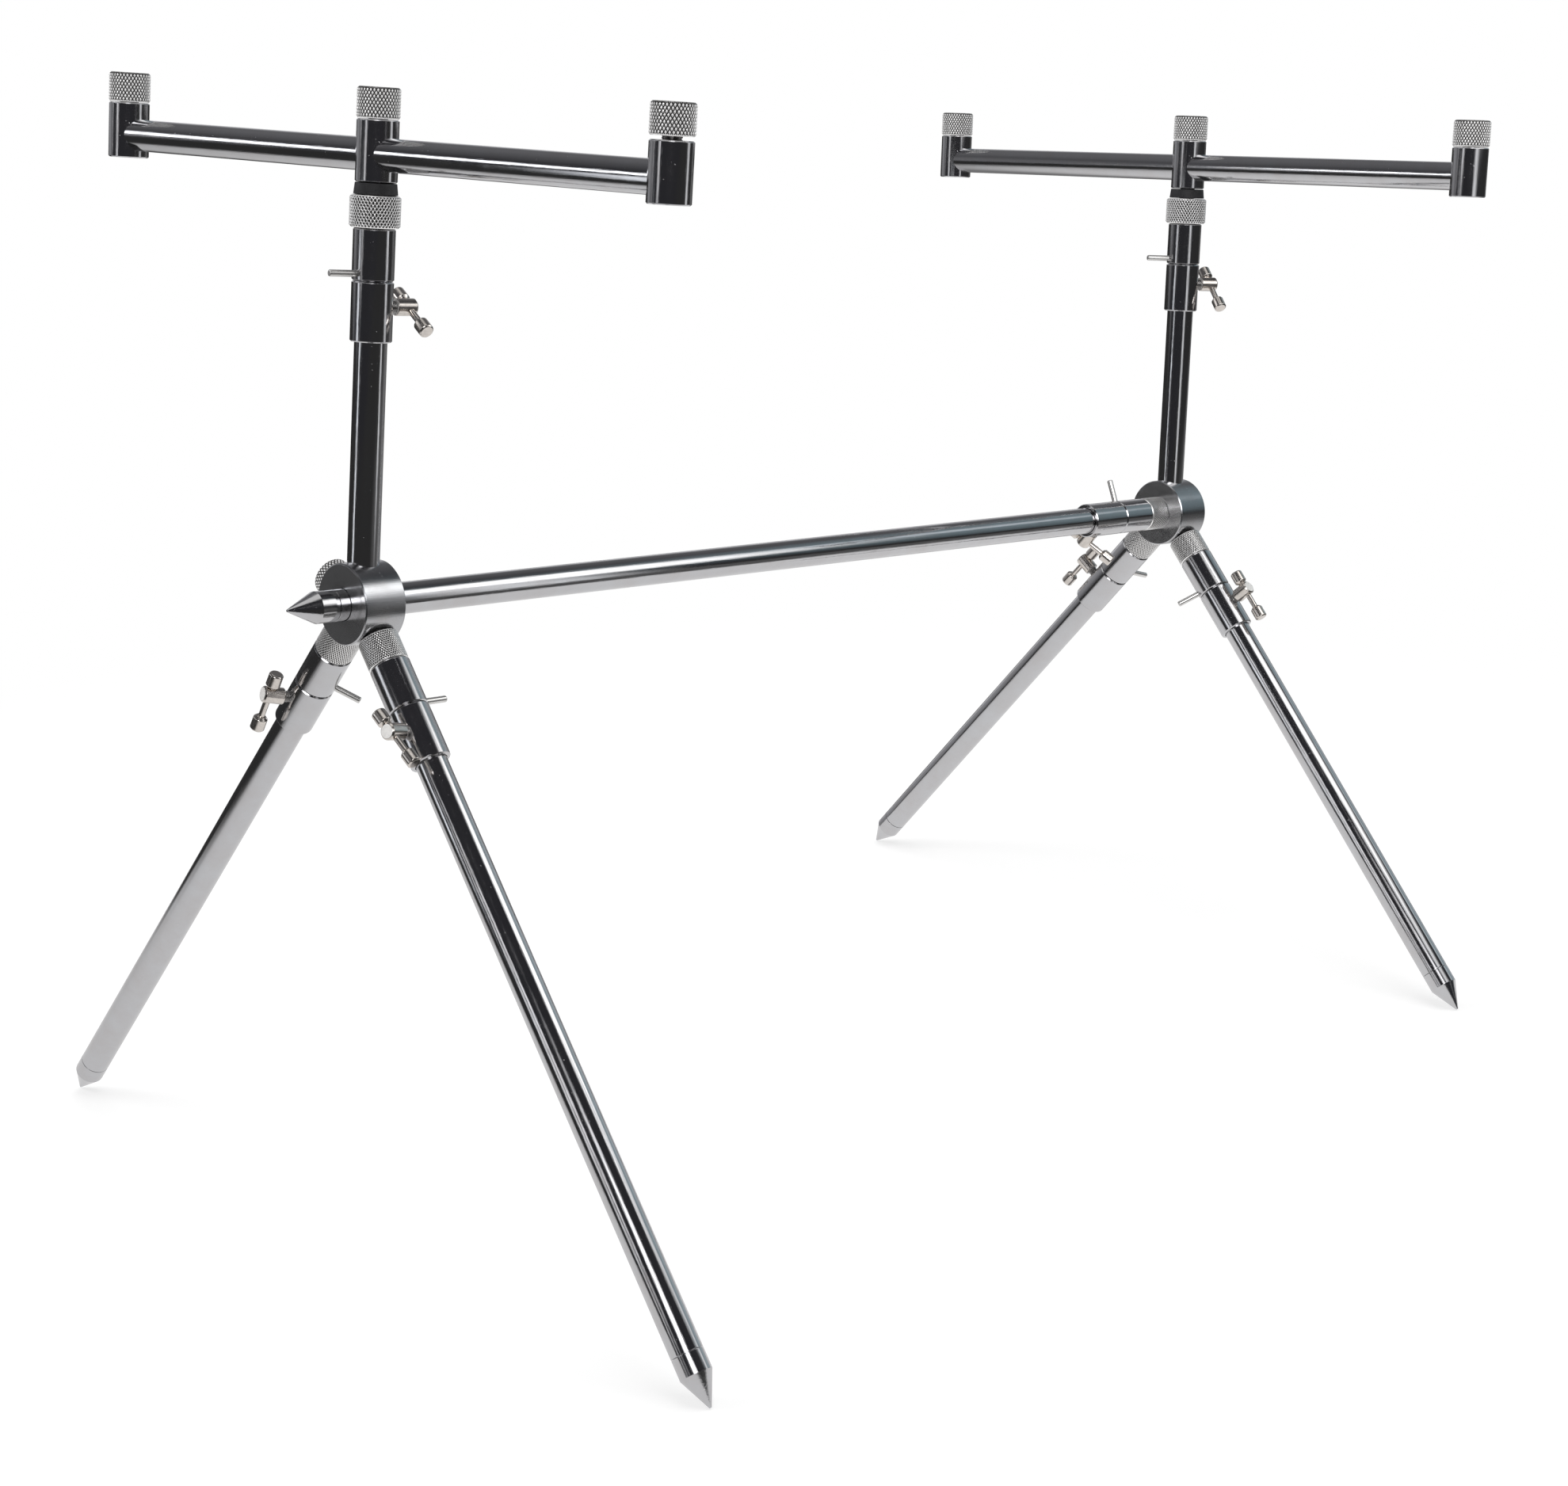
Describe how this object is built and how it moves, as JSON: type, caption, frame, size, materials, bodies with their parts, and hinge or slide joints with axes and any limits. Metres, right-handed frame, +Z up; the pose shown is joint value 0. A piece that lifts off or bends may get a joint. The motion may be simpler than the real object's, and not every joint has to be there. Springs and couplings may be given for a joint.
{
  "type": "fishing rod pod",
  "caption": "Telescopic stainless steel fishing rod pod: splayed spiked legs on two round hubs, a long main bar, and two posts with buzz bars and knurled knobs for rod rests.",
  "frame": {"origin": "centre of the bounding box, on the ground plane that the four spikes stand on", "axes": "+Z up, +Y along the main bar from the front hub to the rear hub, +X to the right of someone standing in front and facing the pod"},
  "size_m": [0.541, 0.729, 0.5766],
  "materials": {
    "polished_steel": "mirror-polished stainless steel with fine scratches",
    "knurled_steel": "fine diamond knurl, satin stainless steel",
    "nickel_fittings": "warm bright nickel",
    "black_plastic": "matt black"
  },
  "bodies": {
    "main_bar": {"main_bar_tube": "polished_steel", "main_bar_spike": "polished_steel", "main_bar_collar": "polished_steel"},
    "front_frame": {"front_hub": "polished_steel", "front_post_tube": "polished_steel", "front_post_collar": "polished_steel", "front_left_leg_rod": "polished_steel", "front_right_leg_rod": "polished_steel"},
    "rear_frame": {"rear_hub": "polished_steel", "main_bar_rod": "polished_steel", "rear_post_tube": "polished_steel", "rear_post_collar": "polished_steel", "rear_left_leg_rod": "polished_steel", "rear_right_leg_rod": "polished_steel"},
    "hub_clamp": {"hub_clamp_knob": "knurled_steel"},
    "main_bar_ring": {"main_bar_ring": "knurled_steel"},
    "main_bar_screw": {"main_bar_clamp_screw": "nickel_fittings"},
    "main_bar_tommy": {"main_bar_tommy_bar": "nickel_fittings"},
    "front_left_leg_lower": {"front_left_leg_tube": "polished_steel", "front_left_leg_collar": "polished_steel", "front_left_leg_spike": "polished_steel"},
    "front_left_leg_ring": {"front_left_leg_ring": "knurled_steel"},
    "front_left_leg_screw": {"front_left_leg_clamp_screw": "nickel_fittings"},
    "front_left_leg_tommy": {"front_left_leg_tommy_bar": "nickel_fittings"},
    "front_right_leg_lower": {"front_right_leg_tube": "polished_steel", "front_right_leg_collar": "polished_steel", "front_right_leg_spike": "polished_steel"},
    "front_right_leg_ring": {"front_right_leg_ring": "knurled_steel"},
    "front_right_leg_screw": {"front_right_leg_clamp_screw": "nickel_fittings"},
    "front_right_leg_tommy": {"front_right_leg_tommy_bar": "nickel_fittings"},
    "rear_left_leg_lower": {"rear_left_leg_tube": "polished_steel", "rear_left_leg_collar": "polished_steel", "rear_left_leg_spike": "polished_steel"},
    "rear_left_leg_ring": {"rear_left_leg_ring": "knurled_steel"},
    "rear_left_leg_screw": {"rear_left_leg_clamp_screw": "nickel_fittings"},
    "rear_left_leg_tommy": {"rear_left_leg_tommy_bar": "nickel_fittings"},
    "rear_right_leg_lower": {"rear_right_leg_tube": "polished_steel", "rear_right_leg_collar": "polished_steel", "rear_right_leg_spike": "polished_steel"},
    "rear_right_leg_ring": {"rear_right_leg_ring": "knurled_steel"},
    "rear_right_leg_screw": {"rear_right_leg_clamp_screw": "nickel_fittings"},
    "rear_right_leg_tommy": {"rear_right_leg_tommy_bar": "nickel_fittings"},
    "front_post_upper": {"front_post_rod": "polished_steel", "front_post_washer": "black_plastic"},
    "front_post_ring": {"front_post_ring": "knurled_steel"},
    "front_post_screw": {"front_post_clamp_screw": "nickel_fittings"},
    "front_post_tommy": {"front_post_tommy_bar": "nickel_fittings"},
    "front_buzz": {"front_buzz_bar": "polished_steel"},
    "front_left_knob": {"front_left_knob": "knurled_steel"},
    "front_middle_knob": {"front_middle_knob": "knurled_steel"},
    "front_right_knob": {"front_right_knob": "knurled_steel"},
    "rear_post_upper": {"rear_post_rod": "polished_steel", "rear_post_washer": "black_plastic"},
    "rear_post_ring": {"rear_post_ring": "knurled_steel"},
    "rear_post_screw": {"rear_post_clamp_screw": "nickel_fittings"},
    "rear_post_tommy": {"rear_post_tommy_bar": "nickel_fittings"},
    "rear_buzz": {"rear_buzz_bar": "polished_steel"},
    "rear_left_knob": {"rear_left_knob": "knurled_steel"},
    "rear_middle_knob": {"rear_middle_knob": "knurled_steel"},
    "rear_right_knob": {"rear_right_knob": "knurled_steel"}
  },
  "joints": [
    {"name": "front_frame_slide", "type": "slide", "parent": "main_bar", "child": "front_frame", "axis": [0, 0.996, -0.0895], "range_m": [-0.005, 0.2]},
    {"name": "rear_frame_slide", "type": "slide", "parent": "main_bar", "child": "rear_frame", "axis": [0, 0.996, -0.0895], "range_m": [0, 0.48]},
    {"name": "hub_clamp_turn", "type": "hinge", "parent": "front_frame", "child": "hub_clamp", "pos_m": [0, -0.32048, 0.32546], "axis": [-0.9397, 0.0306, 0.3406], "range_deg": [0, 360]},
    {"name": "main_bar_ring_turn", "type": "hinge", "parent": "rear_frame", "child": "main_bar_ring", "pos_m": [0, 0.29475, 0.2702], "axis": [0, -0.996, 0.0895], "range_deg": [0, 360]},
    {"name": "main_bar_screw_turn", "type": "hinge", "parent": "main_bar", "child": "main_bar_screw", "pos_m": [0, 0.24196, 0.27494], "axis": [-0.6561, -0.0675, -0.7517], "range_deg": [0, 360]},
    {"name": "main_bar_tommy_slide", "type": "slide", "parent": "main_bar_screw", "child": "main_bar_tommy", "axis": [0.6725, 0.3999, -0.6228], "range_m": [-0.007, 0]},
    {"name": "front_left_leg_extend", "type": "slide", "parent": "front_frame", "child": "front_left_leg_lower", "axis": [-0.6374, -0.0689, -0.7674], "range_m": [0, 0.25]},
    {"name": "front_left_leg_ring_turn", "type": "hinge", "parent": "front_frame", "child": "front_left_leg_ring", "pos_m": [-0.01313, -0.3219, 0.30965], "axis": [-0.6374, -0.0689, -0.7674], "range_deg": [0, 360]},
    {"name": "front_left_leg_screw_turn", "type": "hinge", "parent": "front_left_leg_lower", "child": "front_left_leg_screw", "pos_m": [-0.04691, -0.32555, 0.26898], "axis": [-0.2124, -0.9417, 0.261], "range_deg": [0, 360]},
    {"name": "front_left_leg_tommy_slide", "type": "slide", "parent": "front_left_leg_screw", "child": "front_left_leg_tommy", "axis": [-0.424, -0.1518, -0.8928], "range_m": [-0.007, 0]},
    {"name": "front_right_leg_extend", "type": "slide", "parent": "front_frame", "child": "front_right_leg_lower", "axis": [0.6374, -0.0689, -0.7674], "range_m": [0, 0.25]},
    {"name": "front_right_leg_ring_turn", "type": "hinge", "parent": "front_frame", "child": "front_right_leg_ring", "pos_m": [0.01313, -0.3219, 0.30965], "axis": [0.6374, -0.0689, -0.7674], "range_deg": [0, 360]},
    {"name": "front_right_leg_screw_turn", "type": "hinge", "parent": "front_right_leg_lower", "child": "front_right_leg_screw", "pos_m": [0.04691, -0.32555, 0.26898], "axis": [0.2253, -0.9358, 0.2712], "range_deg": [0, 360]},
    {"name": "front_right_leg_tommy_slide", "type": "slide", "parent": "front_right_leg_screw", "child": "front_right_leg_tommy", "axis": [0.7967, 0.0168, -0.6041], "range_m": [-0.007, 0]},
    {"name": "rear_left_leg_extend", "type": "slide", "parent": "rear_frame", "child": "rear_left_leg_lower", "axis": [-0.6704, -0.0664, -0.739], "range_m": [0, 0.19]},
    {"name": "rear_left_leg_ring_turn", "type": "hinge", "parent": "rear_frame", "child": "rear_left_leg_ring", "pos_m": [-0.01381, 0.30563, 0.25388], "axis": [-0.6704, -0.0664, -0.739], "range_deg": [0, 360]},
    {"name": "rear_left_leg_screw_turn", "type": "hinge", "parent": "rear_left_leg_lower", "child": "rear_left_leg_screw", "pos_m": [-0.04934, 0.30211, 0.21471], "axis": [-0.7348, -0.0792, 0.6737], "range_deg": [0, 360]},
    {"name": "rear_left_leg_tommy_slide", "type": "slide", "parent": "rear_left_leg_screw", "child": "rear_left_leg_tommy", "axis": [-0.6641, -0.1183, -0.7382], "range_m": [-0.007, 0]},
    {"name": "rear_right_leg_extend", "type": "slide", "parent": "rear_frame", "child": "rear_right_leg_lower", "axis": [0.6704, -0.0664, -0.739], "range_m": [0, 0.19]},
    {"name": "rear_right_leg_ring_turn", "type": "hinge", "parent": "rear_frame", "child": "rear_right_leg_ring", "pos_m": [0.01381, 0.30563, 0.25388], "axis": [0.6704, -0.0664, -0.739], "range_deg": [0, 360]},
    {"name": "rear_right_leg_screw_turn", "type": "hinge", "parent": "rear_right_leg_lower", "child": "rear_right_leg_screw", "pos_m": [0.04934, 0.30211, 0.21471], "axis": [0.7415, 0.0947, 0.6642], "range_deg": [0, 360]},
    {"name": "rear_right_leg_tommy_slide", "type": "slide", "parent": "rear_right_leg_screw", "child": "rear_right_leg_tommy", "axis": [0.6704, -0.0664, -0.739], "range_m": [-0.007, 0]},
    {"name": "front_post_extend", "type": "slide", "parent": "front_frame", "child": "front_post_upper", "axis": [0.0063, 0.1139, 0.9935], "range_m": [0, 0.085]},
    {"name": "front_post_ring_turn", "type": "hinge", "parent": "front_post_upper", "child": "front_post_ring", "pos_m": [0.00124, -0.29797, 0.52167], "axis": [-0.0063, -0.1139, -0.9935], "range_deg": [0, 360]},
    {"name": "front_post_screw_turn", "type": "hinge", "parent": "front_frame", "child": "front_post_screw", "pos_m": [0.00091, -0.30401, 0.46902], "axis": [0.1044, 0.988, -0.114], "range_deg": [0, 360]},
    {"name": "front_post_tommy_slide", "type": "slide", "parent": "front_post_screw", "child": "front_post_tommy", "axis": [0.8668, -0.1466, -0.4767], "range_m": [-0.007, 0]},
    {"name": "front_buzz_swing", "type": "hinge", "parent": "front_post_upper", "child": "front_buzz", "pos_m": [0.00136, -0.2958, 0.54065], "axis": [0.0063, 0.1139, 0.9935], "range_deg": [-180, 180]},
    {"name": "front_left_knob_turn", "type": "hinge", "parent": "front_buzz", "child": "front_left_knob", "pos_m": [-0.18485, -0.31464, 0.5608], "axis": [0.0063, 0.1139, 0.9935], "range_deg": [0, 360]},
    {"name": "front_middle_knob_turn", "type": "hinge", "parent": "front_buzz", "child": "front_middle_knob", "pos_m": [0.00147, -0.29387, 0.55744], "axis": [0.0063, 0.1139, 0.9935], "range_deg": [0, 360]},
    {"name": "front_right_knob_turn", "type": "hinge", "parent": "front_buzz", "child": "front_right_knob", "pos_m": [0.18779, -0.27298, 0.55517], "axis": [0.0063, 0.1139, 0.9935], "range_deg": [-360, 360]},
    {"name": "rear_post_extend", "type": "slide", "parent": "rear_frame", "child": "rear_post_upper", "axis": [-0.0215, 0.1014, 0.9946], "range_m": [0, 0.085]},
    {"name": "rear_post_ring_turn", "type": "hinge", "parent": "rear_post_upper", "child": "rear_post_ring", "pos_m": [-0.00424, 0.32703, 0.46554], "axis": [0.0215, -0.1014, -0.9946], "range_deg": [0, 360]},
    {"name": "rear_post_screw_turn", "type": "hinge", "parent": "rear_frame", "child": "rear_post_screw", "pos_m": [-0.0031, 0.32165, 0.41282], "axis": [0.3908, 0.9166, -0.085], "range_deg": [0, 360]},
    {"name": "rear_post_tommy_slide", "type": "slide", "parent": "rear_post_screw", "child": "rear_post_tommy", "axis": [0.6982, -0.3553, -0.6215], "range_m": [-0.007, 0]},
    {"name": "rear_buzz_swing", "type": "hinge", "parent": "rear_post_upper", "child": "rear_buzz", "pos_m": [-0.00465, 0.32897, 0.48453], "axis": [-0.0215, 0.1014, 0.9946], "range_deg": [-180, 180]},
    {"name": "rear_left_knob_turn", "type": "hinge", "parent": "rear_buzz", "child": "rear_left_knob", "pos_m": [-0.22379, 0.35267, 0.49418], "axis": [-0.0215, 0.1014, 0.9946], "range_deg": [0, 360]},
    {"name": "rear_middle_knob_turn", "type": "hinge", "parent": "rear_buzz", "child": "rear_middle_knob", "pos_m": [-0.00501, 0.33068, 0.50134], "axis": [-0.0215, 0.1014, 0.9946], "range_deg": [0, 360]},
    {"name": "rear_right_knob_turn", "type": "hinge", "parent": "rear_buzz", "child": "rear_right_knob", "pos_m": [0.21378, 0.30865, 0.50811], "axis": [-0.0215, 0.1014, 0.9946], "range_deg": [0, 360]}
  ]
}
